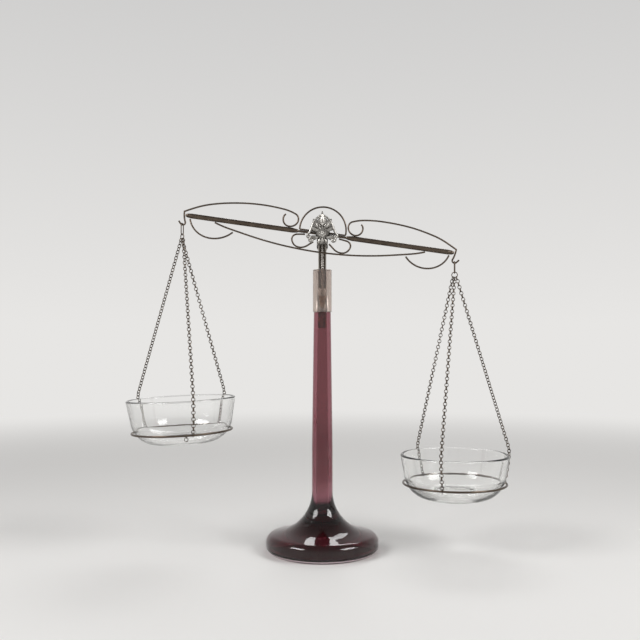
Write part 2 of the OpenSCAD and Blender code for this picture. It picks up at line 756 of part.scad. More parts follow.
module left_front_chain() { chain(LEFT, 0); }
module left_inner_chain() { chain(LEFT, 1); }
module left_outer_chain() { chain(LEFT, 2); }
module right_front_chain() { chain(RIGHT, 0); }
module right_outer_chain() { chain(RIGHT, 1); }
module right_inner_chain() { chain(RIGHT, 2); }

glass_column();
frosted_collar();
cork_bung();
hanger_screw();
yoke_channel();
front_ornament();
rear_cheek();
pivot_pin();
pivot_washers();
pivot_nut();
cheek_rivets();
beam_hub();
left_arm_rod();
right_arm_rod();
centre_loop();
left_top_scroll();
right_top_scroll();
lower_bow();
left_swag();
right_swag();
left_curl();
right_curl();
left_long_ring();
right_long_ring();
left_gather_ring();
left_front_chain();
left_inner_chain();
left_outer_chain();
left_hoop();
left_bowl();
right_gather_ring();
right_front_chain();
right_inner_chain();
right_outer_chain();
right_hoop();
right_bowl();
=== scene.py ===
# %% [markdown]
# # An apothecary balance in Blender
# This lesson dresses a balance that was drawn elsewhere. A flared column of dark
# amethyst glass carries a yoke, and a beam of rod and scrolled wire rocks on it. Two clear glass
# bowls stand in wire hoops, on three fine chains each. The drawn parts come in first, as a frame
# that nothing here moves, and every new piece is made where that frame says it goes.

# %% Load the frame
import json
import math

import bmesh
import bpy
import numpy as np
from mathutils import Matrix, Vector


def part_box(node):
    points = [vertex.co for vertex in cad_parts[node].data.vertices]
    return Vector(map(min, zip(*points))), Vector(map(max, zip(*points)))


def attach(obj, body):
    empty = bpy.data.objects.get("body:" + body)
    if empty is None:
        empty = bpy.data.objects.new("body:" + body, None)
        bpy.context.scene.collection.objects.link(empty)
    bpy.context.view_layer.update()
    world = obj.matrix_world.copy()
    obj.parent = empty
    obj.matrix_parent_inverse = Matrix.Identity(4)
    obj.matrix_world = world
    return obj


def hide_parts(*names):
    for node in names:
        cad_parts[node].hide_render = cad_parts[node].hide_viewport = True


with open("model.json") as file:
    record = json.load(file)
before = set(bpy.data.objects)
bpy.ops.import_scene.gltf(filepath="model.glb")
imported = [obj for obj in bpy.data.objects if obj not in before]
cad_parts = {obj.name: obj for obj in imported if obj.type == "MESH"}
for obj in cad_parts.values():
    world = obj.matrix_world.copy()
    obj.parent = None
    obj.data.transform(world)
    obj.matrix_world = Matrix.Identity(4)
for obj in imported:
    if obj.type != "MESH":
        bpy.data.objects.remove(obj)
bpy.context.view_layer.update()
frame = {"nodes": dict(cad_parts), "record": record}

parts = frame["nodes"]
MM = 0.001

# %% [markdown]
# ## Camera
# The picture was taken from the table's height with a lens that sees the horizon a little under
# the middle. A level camera with a small shift gives the same view without leaning, so the
# column's sides stay upright. Its place and lens were worked out from the widths of the hoops.

# %% Set the camera
PICTURE = 640
FOCAL_PX = 820
AXIS_PX = (322.3, 341)
CAMERA_BACK, CAMERA_UP = 820 * MM, 209 * MM
camera_data = bpy.data.cameras.new("view")
camera_data.sensor_width = 36
camera_data.lens = FOCAL_PX / PICTURE * camera_data.sensor_width
camera_data.shift_x = (PICTURE / 2 - AXIS_PX[0]) / PICTURE
camera_data.shift_y = (AXIS_PX[1] - PICTURE / 2) / PICTURE
camera_data.clip_start = 0.01
camera = bpy.data.objects.new("view", camera_data)
bpy.context.scene.collection.objects.link(camera)
camera.location = (0, -CAMERA_BACK, CAMERA_UP)
camera.rotation_euler = (math.radians(90), 0, 0)
bpy.context.scene.camera = camera
bpy.context.scene.view_settings.view_transform = "Standard"
print("lens:", round(camera_data.lens, 2), "mm")

# %% [markdown]
# ## Node helpers
# Every finish below is a small tree of shader nodes. These helpers only save typing: one starts
# a material, one adds a node, sets it and wires its inputs, and the rest add the few kinds of
# node that come back all the time. A number that is the same all over a surface is typed on the
# shader itself.


# %% Helpers for node trees
def start_material(name):
    material = bpy.data.materials.new(name)
    material.use_nodes = True
    tree = material.node_tree
    return material, tree, tree.nodes["Principled BSDF"]


def add(tree, kind, inputs=(), **settings):
    node = tree.nodes.new(kind)
    for key, value in settings.items():
        setattr(node, key, value)
    for key, value in dict(inputs).items():
        if isinstance(value, bpy.types.NodeSocket):
            tree.links.new(value, node.inputs[key])
        else:
            node.inputs[key].default_value = value
    return node


def coordinates(tree):
    return add(tree, "ShaderNodeTexCoord").outputs["Object"]


def noise(tree, where, scale, detail=4.0, roughness=0.55):
    return add(tree, "ShaderNodeTexNoise", {"Vector": where, "Scale": scale,
               "Detail": detail, "Roughness": roughness}).outputs["Fac"]


def ramp(tree, value, stops):
    node = add(tree, "ShaderNodeValToRGB", {"Fac": value})
    elements = node.color_ramp.elements
    while len(elements) < len(stops):
        elements.new(0.5)
    for element, (place, colour) in zip(elements, stops):
        element.position = place
        element.color = (*colour, 1)
    return node.outputs["Color"]


def spread(tree, value, low, high):
    return add(tree, "ShaderNodeMapRange", {"Value": value, "To Min": low,
               "To Max": high}).outputs["Result"]


def bump(tree, height, strength, distance):
    return add(tree, "ShaderNodeBump", {"Height": height, "Strength": strength,
               "Distance": distance}).outputs["Normal"]


print("helpers:", [helper.__name__ for helper in (add, coordinates, noise, ramp, spread, bump)])

# %% [markdown]
# ## Amethyst glass
# The column is thick glass that swallows green and blue light: thin walls look plum, and the
# solid foot looks almost black. Painting that on would be wrong from other sides, so the
# body absorbs light by its depth, with Volume Absorption. The stem was cased in a darker skin,
# so its surface is tinted as well, and the tint fades out down the flare.
# Faint waves in the surface are what old pressed glass has. The underside is ground: it is
# rough, lets little light through, and carries a fine diamond knurl, which two crossed sets of
# waves make without a single extra face.

# %% Amethyst glass
SKIN_FROM, SKIN_TO = 22 * MM, 75 * MM
FLARE_TINT, STEM_TINT = (0.90, 0.78, 0.82), (0.46, 0.25, 0.27)
GROUND_TO, CLEAR_FROM = 2.0 * MM, 2.5 * MM
KNURL_TURNS, KNURL_SCALE = (45, -45), 200
amethyst, tree, shader = start_material("amethyst_glass")
shader.inputs["IOR"].default_value = 1.52
depth = add(tree, "ShaderNodeVolumeAbsorption",
            {"Color": (0.62, 0.16, 0.30, 1), "Density": 120})
tree.links.new(depth.outputs[0], tree.nodes["Material Output"].inputs["Volume"])
where = coordinates(tree)
waves = noise(tree, where, 55, 1.5, 0.4)
lines = []
for turn in KNURL_TURNS:
    turned = add(tree, "ShaderNodeMapping", {"Vector": where,
                 "Rotation": (0, 0, math.radians(turn))}).outputs["Vector"]
    lines.append(add(tree, "ShaderNodeTexWave", {"Vector": turned, "Scale": KNURL_SCALE},
                     wave_type="BANDS", bands_direction="X").outputs["Fac"])
knurl = add(tree, "ShaderNodeMath", {0: lines[0], 1: lines[1]}, operation="MULTIPLY").outputs[0]
height = add(tree, "ShaderNodeSeparateXYZ", {"Vector": where}).outputs["Z"]
skin = add(tree, "ShaderNodeMapRange", {"Value": height, "From Min": SKIN_FROM,
           "From Max": SKIN_TO}).outputs["Result"]
tree.links.new(ramp(tree, skin, [(0, FLARE_TINT), (1, STEM_TINT)]), shader.inputs["Base Color"])
under = add(tree, "ShaderNodeMapRange", {"Value": height, "From Min": CLEAR_FROM,
            "From Max": GROUND_TO}).outputs["Result"]
knurl = add(tree, "ShaderNodeMath", {0: knurl, 1: under}, operation="MULTIPLY").outputs[0]
rough = bump(tree, waves, 0.10, 0.6 * MM)
knurled = add(tree, "ShaderNodeBump", {"Height": knurl, "Strength": 0.8,
              "Distance": 0.5 * MM, "Normal": rough}).outputs["Normal"]
tree.links.new(spread(tree, under, 0.015, 0.45), shader.inputs["Roughness"])
tree.links.new(spread(tree, under, 1.0, 0.15), shader.inputs["Transmission Weight"])
tree.links.new(knurled, shader.inputs["Normal"])
print("amethyst: absorbs", depth.inputs["Density"].default_value, "per metre at most")

# %% [markdown]
# ## Clear glass
# The bowls are moulded clear glass with thick bases. Plain white glass would do from far off,
# but its rim and base would look like air. A trace of greenish absorption gives them body, and
# slow waves bend the reflections a little.

# %% Clear glass
clear, tree, shader = start_material("clear_glass")
shader.inputs["Base Color"].default_value = (1, 1, 1, 1)
shader.inputs["Transmission Weight"].default_value = 1
shader.inputs["IOR"].default_value = 1.5
shader.inputs["Roughness"].default_value = 0.01
depth = add(tree, "ShaderNodeVolumeAbsorption",
            {"Color": (0.55, 0.62, 0.50, 1), "Density": 9})
tree.links.new(depth.outputs[0], tree.nodes["Material Output"].inputs["Volume"])
waves = noise(tree, coordinates(tree), 70, 2.0, 0.45)
tree.links.new(bump(tree, waves, 0.12, 0.8 * MM), shader.inputs["Normal"])
print("clear glass: absorbs", depth.inputs["Density"].default_value, "per metre at most")

# %% [markdown]
# ## Frosted collar
# The collar is a short length of ground tube. It softens what is inside it, which see-through
# paint would not do, so it is glass with some roughness, and a fine grain in that roughness
# stands for the grinding.

# %% Frosted collar
frosted, tree, shader = start_material("frosted")
shader.inputs["Base Color"].default_value = (0.56, 0.47, 0.42, 1)
shader.inputs["Transmission Weight"].default_value = 0.90
shader.inputs["IOR"].default_value = 1.45
grain = noise(tree, coordinates(tree), 900, 3.0)
tree.links.new(spread(tree, grain, 0.10, 0.20), shader.inputs["Roughness"])
tree.links.new(bump(tree, grain, 0.25, 0.15 * MM), shader.inputs["Normal"])
print("frosted collar: IOR", round(shader.inputs["IOR"].default_value, 2))

# %% [markdown]
# ## Cork
# Cork is a warm brown with dark and pale flecks and a pitted skin. It shows only through
# glass, so it needs no modelled pits: a noise gives the flecks, and a cell pattern in the bump
# gives the pits.

# %% Cork
cork, tree, shader = start_material("cork")
where = coordinates(tree)
cells = add(tree, "ShaderNodeTexVoronoi", {"Vector": where, "Scale": 900}).outputs["Distance"]
flecks = noise(tree, where, 420, 5.0)
shade = ramp(tree, flecks, [(0.30, (0.20, 0.09, 0.04)), (0.55, (0.42, 0.23, 0.11)),
                            (0.75, (0.60, 0.38, 0.20))])
tree.links.new(shade, shader.inputs["Base Color"])
tree.links.new(bump(tree, cells, 0.5, 0.3 * MM), shader.inputs["Normal"])
shader.inputs["Roughness"].default_value = 0.85
print("cork roughness:", round(shader.inputs["Roughness"].default_value, 2))

# %% [markdown]
# ## Dark metals
# The beam, yoke, rings and hoops are oxidised metal: nearly black brown, with a dull shine
# where hands have rubbed it. One helper makes them all. A slow noise moves the colour between
# two tones and the same noise roughens the darker places, and a fine noise gives the skin its
# grain. The helper takes the two tones, so each metal keeps its own. The pewter casting also
# gets painted shade in its hollows. It could be painted by hand, but the hollows are simply the
# places that lie further back, so a near-black colour is mixed in by the depth from front to back.


# %% Metal finishes
def metal(name, dark, light, rough_low, rough_high, patch=160, grain_depth=0.06):
    material, tree, shader = start_material(name)
    where = coordinates(tree)
    patches = noise(tree, where, patch, 6.0, 0.6)
    fine = noise(tree, where, 2600, 2.0)
    tree.links.new(ramp(tree, patches, [(0.35, dark), (0.68, light)]),
                   shader.inputs["Base Color"])
    tree.links.new(spread(tree, patches, rough_high, rough_low), shader.inputs["Roughness"])
    tree.links.new(bump(tree, fine, 0.35, grain_depth * MM), shader.inputs["Normal"])
    shader.inputs["Metallic"].default_value = 1
    return material


# Mixes a near-black colour into the places that lie further back: painted shade in the hollows.
def painted_shade_behind(material, lit_y, shaded_y, shade_colour):
    tree = material.node_tree
    skin = tree.nodes["Principled BSDF"].inputs["Base Color"]
    depth = add(tree, "ShaderNodeSeparateXYZ", {"Vector": coordinates(tree)}).outputs["Y"]
    share = add(tree, "ShaderNodeMapRange", {"Value": depth, "From Min": lit_y,
                "From Max": shaded_y}).outputs["Result"]
    mix = add(tree, "ShaderNodeMix", {"Factor": share}, data_type="RGBA")
    tree.links.new(skin.links[0].from_socket, mix.inputs["A"])
    mix.inputs["B"].default_value = (*shade_colour, 1)
    tree.links.new(mix.outputs["Result"], skin)


bronze = metal("dark_bronze", (0.085, 0.066, 0.052), (0.135, 0.106, 0.082), 0.27, 0.38, 110)
iron = metal("dull_iron", (0.30, 0.28, 0.26), (0.48, 0.46, 0.43), 0.32, 0.46)
pewter = metal("old_pewter", (0.20, 0.187, 0.172), (0.52, 0.505, 0.475), 0.26, 0.42, 240, 0.03)
# The pewter's hollows get painted shade, darker the further back they lie.
painted_shade_behind(pewter, -6.2 * MM, -4.4 * MM, (0.05, 0.045, 0.04))
# The yoke's channel: a lighter copy of the bronze, a painted highlight for its lit edges.
channel_highlight = metal("painted_highlight_channel", (0.34, 0.31, 0.28), (0.52, 0.49, 0.45), 0.24, 0.36, 140)
chain_iron = metal("chain_iron", (0.070, 0.056, 0.045), (0.17, 0.135, 0.105), 0.27, 0.42, 400)
print("metals:", [m.name for m in (bronze, iron, pewter, channel_highlight, chain_iron)])

# %% [markdown]
# ## Dress the drawn parts
# The record says which finish each part has. Materials could be handed out by name, one line a
# part, but here every part takes the material of its slot, so none is missed. Only the yoke's
# channel gets a lighter copy of the bronze: a painted highlight for the light its edges catch.

# %% Give each part its material
FINISHES = {"purple_glass": amethyst, "clear_glass": clear, "frosted": frosted, "cork": cork,
            "iron": iron, "bronze": bronze, "pewter": pewter, "chain": chain_iron}
slot_of = {part["node"]: part["material_slot"] for part in frame["record"]["subparts"]}
for name, part in parts.items():
    part.data.materials.clear()
    part.data.materials.append(FINISHES[slot_of[name]])
parts["yoke_channel"].data.materials[0] = channel_highlight
print({slot: sum(s == slot for s in slot_of.values()) for slot in FINISHES})

# %% [markdown]
# ## Finishing a piece
# Every new piece ends the same way. Its mesh gets outward normals and smooth shading, and its
# object gets a material and the body that it rides on. Two helpers do that for all of them, so
# that no piece is left without one of these.


# %% Finish and place a piece
def finished(bm, name):
    bmesh.ops.recalc_face_normals(bm, faces=bm.faces)
    for face in bm.faces:
        face.smooth = True
    mesh = bpy.data.meshes.new(name)
    bm.to_mesh(mesh)
    bm.free()
    print(name, "faces:", len(mesh.polygons))
    return mesh


def place_piece(name, mesh, body, material):
    piece = bpy.data.objects.new(name, mesh)
    bpy.context.scene.collection.objects.link(piece)
    mesh.materials.append(material)
    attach(piece, body)
    return piece


# %% [markdown]
# ## Turned pieces
# The column, the collar and the bowls were turned or blown round an axis, so each is one
# outline spun round it. The drawn parts have the right shape, but glass bends what is behind
# it, and a fine outline with many steps bends it cleanly. The outline is only a row of points
# joined by edges, and the spin does the rest. Smooth shading blends the slopes of neighbouring
# faces, which would turn a long straight wall into a lens, so each long stretch gets a guard
# point near both of its ends.


# %% A lathe
GUARD = 0.25
MERGE = 1e-7


def arc(centre, radius, first, last, steps):
    turns = [math.radians(first + (last - first) * i / steps) for i in range(steps + 1)]
    return [(centre[0] + radius * math.cos(t), centre[1] + radius * math.sin(t)) for t in turns]


def guarded(outline):
    result = [Vector(outline[0])]
    for a, b in zip(map(Vector, outline), map(Vector, outline[1:])):
        run = (b - a).length
        if run > 4 * GUARD:
            result += [a.lerp(b, GUARD / run), b.lerp(a, GUARD / run)]
        result.append(b)
    return result


def turned(name, outline, steps, closed):
    bm = bmesh.new()
    points = [bm.verts.new((r * MM, 0, z * MM)) for r, z in guarded(outline)]
    edges = [bm.edges.new(pair) for pair in zip(points, points[1:])]
    if closed:
        edges.append(bm.edges.new((points[-1], points[0])))
    bmesh.ops.spin(bm, geom=points + edges, cent=(0, 0, 0), axis=(0, 0, 1),
                   angle=2 * math.pi, steps=steps, use_merge=True)
    bmesh.ops.remove_doubles(bm, verts=bm.verts, dist=MERGE)
    return finished(bm, name)


print("guard points lie", GUARD, "mm from the ends of a stretch")

# %% [markdown]
# ## The column
# From the table up: a flat ring, a round lower edge, a round upper edge, a sloping shoulder, a
# long hollow curve and a stem that tapers. Inside, a bore runs down to a rounded floor above
# the foot. A smooth curve through a few points would be quicker to draw, but it would miss the
# drawing's radii, so the outline is built of arcs and straight runs. The sizes are the
# drawing's, in millimetres.

# %% Turn the column
COLUMN_H, FOOT_R, STEM_LOW_R, STEM_TOP_R = 237.8, 56.3, 10.3, 8.5
BORE_LOW_R, BORE_TOP_R, BORE_FLOOR, BORE_CORNER_R = 6.2, 4.5, 34, 3
TAPER_FROM, TAPER_STEPS, LIP = 0.44 * COLUMN_H, 12, 0.4
UNDERSIDE = [(0, 2.2), (32.6, 2.2), (33.6, 2.1), (35.2, 0.5), (36.2, 0)]
STEM_POINTS, BORE_POINTS = (70, 90), (80, 60)
SHOULDER_SLOPE, SHOULDER_R, FLARE_R, EDGE_H, UNDER_R = 15, 8, 41, 9.5, 6.5
turn = 90 - SHOULDER_SLOPE
flare_end = STEM_LOW_R + FLARE_R * (1 - math.cos(math.radians(turn)))
edge_end = FOOT_R - SHOULDER_R * (1 - math.cos(math.radians(turn)))
edge_top = EDGE_H + SHOULDER_R * math.sin(math.radians(turn))
flare_foot = edge_top + (edge_end - flare_end) * math.tan(math.radians(SHOULDER_SLOPE))
flare_top = flare_foot + FLARE_R * math.sin(math.radians(turn))
outline = UNDERSIDE + arc((FOOT_R - UNDER_R, UNDER_R), UNDER_R, -90, 0, 16)
outline += arc((FOOT_R - SHOULDER_R, EDGE_H), SHOULDER_R, 0, turn, 18)
outline += arc((STEM_LOW_R + FLARE_R, flare_top), FLARE_R, 180 + turn, 180, 48)
outline += [(STEM_LOW_R, z) for z in STEM_POINTS]
outline += [(STEM_LOW_R + (STEM_TOP_R - STEM_LOW_R) * t,
             TAPER_FROM + (COLUMN_H - LIP - TAPER_FROM) * t)
            for t in [i / TAPER_STEPS for i in range(TAPER_STEPS + 1)]]
outline += [(STEM_TOP_R - LIP, COLUMN_H), (BORE_TOP_R, COLUMN_H)]
outline += [(BORE_TOP_R + (BORE_LOW_R - BORE_TOP_R) * t, COLUMN_H + (TAPER_FROM - COLUMN_H) * t)
            for t in [i / TAPER_STEPS for i in range(1, TAPER_STEPS + 1)]]
outline += [(BORE_LOW_R, z) for z in BORE_POINTS]
outline += arc((BORE_LOW_R - BORE_CORNER_R, BORE_FLOOR + BORE_CORNER_R), BORE_CORNER_R, 0, -90, 10)
outline += [(0, BORE_FLOOR)]
column = place_piece("column", turned("column", outline, steps=160, closed=False), "stand",
                     amethyst)
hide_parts("glass_column")

# %% [markdown]
# ## The collar
# The frosted tube stands on the column's mouth. The drawn part has sharp ends. The real ones are
# ground with a small round, which could be a bevel, but in a turned piece it is only two short
# arcs in the outline. The tube starts a hair above the mouth, so the two glasses don't share a
# face.

# %% Turn the collar
collar_low, collar_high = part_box("frosted_collar")
COLLAR_R, COLLAR_BORE_R, COLLAR_EDGE = 9.4, 4.3, 0.9
COLLAR_HAIR, COLLAR_CHAMFER = 0.05, 0.3
foot, top = collar_low.z / MM + COLLAR_HAIR, collar_high.z / MM
outline = [(COLLAR_BORE_R, foot), (COLLAR_R - COLLAR_EDGE, foot)]
outline += arc((COLLAR_R - COLLAR_EDGE, foot + COLLAR_EDGE), COLLAR_EDGE, -90, 0, 6)[1:]
outline += arc((COLLAR_R - COLLAR_EDGE, top - COLLAR_EDGE), COLLAR_EDGE, 0, 90, 6)
outline += [(COLLAR_BORE_R + COLLAR_CHAMFER, top), (COLLAR_BORE_R, top - COLLAR_CHAMFER)]
collar = place_piece("collar", turned("collar", outline, steps=96, closed=True), "stand",
                     frosted)
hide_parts("frosted_collar")

# %% [markdown]
# ## The bowls
# A bowl has a flat base with a shallow hollow under it, a round corner, a leaning wall and a
# fire-polished rim. Its outline runs out along the base, up the outside, over the rim and down
# the inside, so one spin makes both walls.


# %% Outline of a bowl
BOWL_H, BOWL_FLOOR_R, BOWL_CURVE_R, BOWL_LEAN = 44.3, 25.5, 25, 9.5
BASE = [(0, 0.7), (17, 0.6), (19.5, 0.3), (21.5, 0)]
DIP_R, DIP_EDGE, DIP_MIDDLE = 12, 0.1, 0.15


def bowl_outline(wall, floor):
    lean = math.radians(BOWL_LEAN)
    start_h = BOWL_CURVE_R * (1 - math.sin(lean))
    start_r = BOWL_FLOOR_R + BOWL_CURVE_R * math.cos(lean)
    rim_r = start_r + (BOWL_H - start_h) * math.tan(lean)
    lip, inner = wall / 2, BOWL_CURVE_R - wall
    points = BASE + arc((BOWL_FLOOR_R, BOWL_CURVE_R), BOWL_CURVE_R, -90, -BOWL_LEAN, 24)
    points += arc((rim_r - lip, BOWL_H - lip), lip, 0, 180, 12)
    points += arc((BOWL_FLOOR_R, floor + inner), inner, -BOWL_LEAN, -90, 24)
    return points + [(DIP_R, floor - DIP_EDGE), (0, floor - DIP_MIDDLE)]


print("points in a bowl's outline:", len(bowl_outline(3, 4)))

# %% [markdown]
# The spin makes a bowl upright at the middle of the scene. It is then set down in its hoop,
# leaning as its pan does. Its place could be read from the drawn bowl's box, but the box of a
# leaning bowl isn't centred on its axis. The hoop's wire stands a fixed gap off the bowl's round
# corner, which says how deep the base lies under the hoop, and the hoop's centre gives the rest.

# %% Set the bowls in their hoops
HOOP_STAND = 2.5
LEFT_LEAN = -2.5
HOOP_R = {"left": 49.5, "right": 51.2}
WALL_FLOOR_LEAN = {"left": (2.8, 3.6, LEFT_LEAN), "right": (3.3, 5, 0)}
for side, (wall, floor, lean) in WALL_FLOOR_LEAN.items():
    mesh = turned(side + "_dish", bowl_outline(wall, floor), steps=144, closed=False)
    hoop_low, hoop_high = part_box(side + "_hoop")
    sunk = BOWL_CURVE_R - math.sqrt((BOWL_CURVE_R + HOOP_STAND) ** 2
                                    - (HOOP_R[side] - BOWL_FLOOR_R) ** 2)
    mesh.transform(Matrix.Translation((hoop_low + hoop_high) / 2)
                   @ Matrix.Rotation(math.radians(lean), 4, "Y")
                   @ Matrix.Translation((0, 0, -sunk * MM)))
    low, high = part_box(side + "_bowl")
    dish = place_piece(side + "_dish", mesh, side + "_dish", clear)
    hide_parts(side + "_bowl")
    for k in (0, 2):
        found = [f(v.co[k] for v in mesh.vertices) / MM for f in (min, max)]
        print(side, "dish along", "XYZ"[k], [round(v, 2) for v in found], "drawn",
              [round(low[k] / MM, 2), round(high[k] / MM, 2)])

# %% [markdown]
# ## The hanger screw
# A coarse wood screw runs up the middle of the yoke. A bump pattern could only hint at so deep a
# thread, so it is modelled. The thread is one pitch of its outline, carried round and up at the
# same time by the spin, which makes a helix. Each turn's upper edge meets the next turn's lower
# edge, so merging the doubles closes it. The two ends are cut flat and filled, and the lowest
# millimetres are drawn in to a point.

# %% Cut the screw
screw_low, screw_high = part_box("hanger_screw")
PITCH, CREST_R, ROOT_R, POINT_H, TURN_STEPS = 2.4, 2.2, 1.55, 6, 28
THREAD = [(ROOT_R, 0), (ROOT_R, 0.9), (CREST_R, 1.5), (CREST_R, 1.75), (ROOT_R, PITCH)]
BLUNT, CREASE, THREAD_MERGE = 0.06, 50, 1e-6
turns = math.ceil((screw_high.z - screw_low.z) / (PITCH * MM)) + 1
bm = bmesh.new()
points = [bm.verts.new((r * MM, 0, screw_low.z + (z - PITCH) * MM)) for r, z in THREAD]
edges = [bm.edges.new(pair) for pair in zip(points, points[1:])]
bmesh.ops.spin(bm, geom=points + edges, cent=(0, 0, 0), axis=(0, 0, 1),
               angle=2 * math.pi * turns, steps=TURN_STEPS * turns, use_merge=False,
               dvec=(0, 0, PITCH * MM / TURN_STEPS))
bmesh.ops.remove_doubles(bm, verts=bm.verts, dist=THREAD_MERGE)
for height, keep_up in ((screw_low.z, True), (screw_high.z, False)):
    cut = bmesh.ops.bisect_plane(bm, geom=bm.verts[:] + bm.edges[:] + bm.faces[:],
                                 plane_co=(0, 0, height), plane_no=(0, 0, 1),
                                 clear_inner=keep_up, clear_outer=not keep_up)
    ring = [e for e in cut["geom_cut"] if isinstance(e, bmesh.types.BMEdge)]
    bmesh.ops.contextual_create(bm, geom=ring)
for vert in bm.verts:
    share = min(1, BLUNT + (vert.co.z - screw_low.z) / (POINT_H * MM))
    vert.co.x *= share
    vert.co.y *= share
mesh = finished(bm, "threaded_screw")
mesh.set_sharp_from_angle(angle=math.radians(CREASE))
screw = place_piece("threaded_screw", mesh, "stand", iron)
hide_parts("hanger_screw")
print("screw turns:", turns)

# %% [markdown]
# ## The cast ornament
# The yoke's front carries a casting of leaves and scrolls. The design here is a plain one of the
# kind: a domed body, a fan of lobed leaves, a pair of volutes, a rosette, and tapering scrolls at
# the sides. Leaves could be sculpted one by one, but a formula makes a whole family of them. A
# leaf is a grid whose points are moved: the width swells and has lobes, the middle is raised as a
# rib and the sides are folded. Solidify then gives it a back. The casting is drawn in
# millimetres round the pivot and set in its place at the end.


# %% Helpers for leaves
LOBE, LOBE_START, SWELL_START, SWELL_POWER = 0.11, 0.12, 0.10, 0.75
RIB, RIB_HALF_WIDTH, FOLD, DROOP = 0.5, 0.30, 0.15, 0.10
RELIEF, LEAF_THICKNESS, BODY_THICKNESS = 1.1, 0.5, 0.8
LEAF_ACROSS, LEAF_ALONG = 10, 24


def place_leaf(bm, verts, foot, turn):
    bmesh.ops.rotate(bm, verts=verts, cent=(0, 0, 0),
                     matrix=Matrix.Rotation(math.radians(turn), 3, "Y"))
    bmesh.ops.translate(bm, verts=verts, vec=(foot[0], 0, foot[1]))


def thicken(bm, verts, thickness):
    faces = list({face for vert in verts for face in vert.link_faces})
    bmesh.ops.recalc_face_normals(bm, faces=faces)
    before = set(bm.verts)
    bmesh.ops.solidify(bm, geom=faces, thickness=thickness)
    return list(verts) + [v for v in bm.verts if v not in before]


def add_leaf(bm, foot, turn, length, width, front, lobes=3):
    leaf = bmesh.ops.create_grid(bm, x_segments=LEAF_ACROSS, y_segments=LEAF_ALONG,
                                 size=0.5)["verts"]
    for vert in leaf:
        across, t = 2 * vert.co.x, vert.co.y + 0.5
        swell = math.sin(math.pi * min(1, SWELL_START + (1 - SWELL_START) * t)) ** SWELL_POWER
        lobed = 1 + LOBE * math.cos(2 * math.pi * (lobes * t + LOBE_START)) * abs(across)
        rib = RIB * math.exp(-(across / RIB_HALF_WIDTH) ** 2)
        fold = FOLD * math.cos(2 * math.pi * lobes * t) * abs(across) * (1 - t)
        relief = (1 - 0.75 * across ** 2) * math.sin(math.pi * min(1, 0.2 + 0.75 * t)) + rib - fold
        vert.co = (across * width / 2 * swell * lobed, -front - RELIEF * relief,
                   t * length + DROOP * length * abs(across) * (1 - t))
    place_leaf(bm, thicken(bm, leaf, LEAF_THICKNESS), foot, turn)


print("a leaf's grid:", LEAF_ACROSS, "by", LEAF_ALONG)

# %% [markdown]
# The body is a grid too. Its half width goes through a list of heights and widths, with a smooth
# step from one to the next, and its middle stands proud of its sides. Five leaves fan out from
# it, each given by its turn, length and width. Smaller ones lie at the sides and below in pairs,
# each given by its foot across and up, its turn, length, width, front and number of lobes. A
# last one hangs in the middle.


# %% Body and leaves
def smooth_through(stops, value):
    for (a, low), (b, high) in zip(stops, stops[1:]):
        if value <= b:
            t = (value - a) / (b - a)
            return low + (high - low) * t * t * (3 - 2 * t)
    return stops[-1][1]


FAN = [(-68, 10.5, 5.6), (68, 10.5, 5.6), (-36, 13.6, 6.4), (36, 13.6, 6.4), (0, 16.2, 6.8)]
BODY = [(-10.4, 4.2), (-7.5, 5.4), (-4.5, 4.6), (0, 7.0), (5, 8.2), (10, 7.2), (14, 4.6), (17, 1.6)]
BODY_FRONT, BODY_DOME, FAN_FRONT = 4.3, 1.5, 5.2
SIDE_LEAVES = [(3.0, -2.6, 104, 10.5, 4.2, 4.8, 2), (1.6, -3.6, 158, 7.6, 3.2, 5.4, 2),
               (4.4, -9.4, 176, 5.2, 2.0, 4.2, 1)]
casting = bmesh.new()
body = bmesh.ops.create_grid(casting, x_segments=16, y_segments=40, size=0.5)["verts"]
for vert in body:
    across, t = 2 * vert.co.x, vert.co.y + 0.5
    up = BODY[0][0] + t * (BODY[-1][0] - BODY[0][0])
    vert.co = (across * smooth_through(BODY, up), -BODY_FRONT - BODY_DOME * (1 - across ** 2), up)
thicken(casting, body, BODY_THICKNESS)
for turn, length, width in FAN:
    add_leaf(casting, (0.10 * turn / 3, 4.4 - abs(turn) * 0.02), turn, length, width, FAN_FRONT)
for side in (-1, 1):
    for across, up, turn, *shape in SIDE_LEAVES:
        add_leaf(casting, (side * across, up), side * turn, *shape)
add_leaf(casting, (0, -3.8), 180, length=7.4, width=3.6, front=6.0, lobes=2)
print("casting leaves, faces:", len(casting.faces))

# %% [markdown]
# The scrolls taper from a stout middle to fine curled ends. A spun ring can't do that, but a
# curve can: it has a radius of its own at every point and is then turned into a mesh. A volute
# is a spiral whose radius shrinks by the same share in every step, and a line through a few
# given points leads up to it.


# %% Helpers for scrolls
SCROLL_START, SCROLL_SPAN, SCROLL_POWER = 0.12, 0.86, 0.8


def volute(centre, start_r, end_r, start, sweep, steps=26):
    return [(centre[0] + r * math.cos(a), centre[1] + r * math.sin(a))
            for r, a in ((start_r * (end_r / start_r) ** (i / steps),
                          math.radians(start + sweep * i / steps)) for i in range(steps + 1))]


def add_scroll(bm, points, thick, thin, front, lift=0.0):
    curve = bpy.data.curves.new("scroll", "CURVE")
    curve.dimensions, curve.bevel_depth, curve.bevel_resolution = "3D", MM, 2
    curve.use_fill_caps = True
    for side in (-1, 1):
        spline = curve.splines.new("POLY")
        spline.points.add(len(points) - 1)
        for i, (knot, (x, z)) in enumerate(zip(spline.points, points)):
            t = i / (len(points) - 1)
            knot.co = (side * x * MM, (-front - lift * math.sin(math.pi * t)) * MM, z * MM, 1)
            stout = math.sin(math.pi * (SCROLL_START + SCROLL_SPAN * t)) ** SCROLL_POWER
            knot.radius = thin + (thick - thin) * stout
    holder = bpy.data.objects.new("scroll", curve)
    mesh = bpy.data.meshes.new_from_object(holder)
    mesh.transform(Matrix.Scale(1 / MM, 4))
    bm.from_mesh(mesh)
    bpy.data.meshes.remove(mesh)
    bpy.data.objects.remove(holder)
    bpy.data.curves.remove(curve)


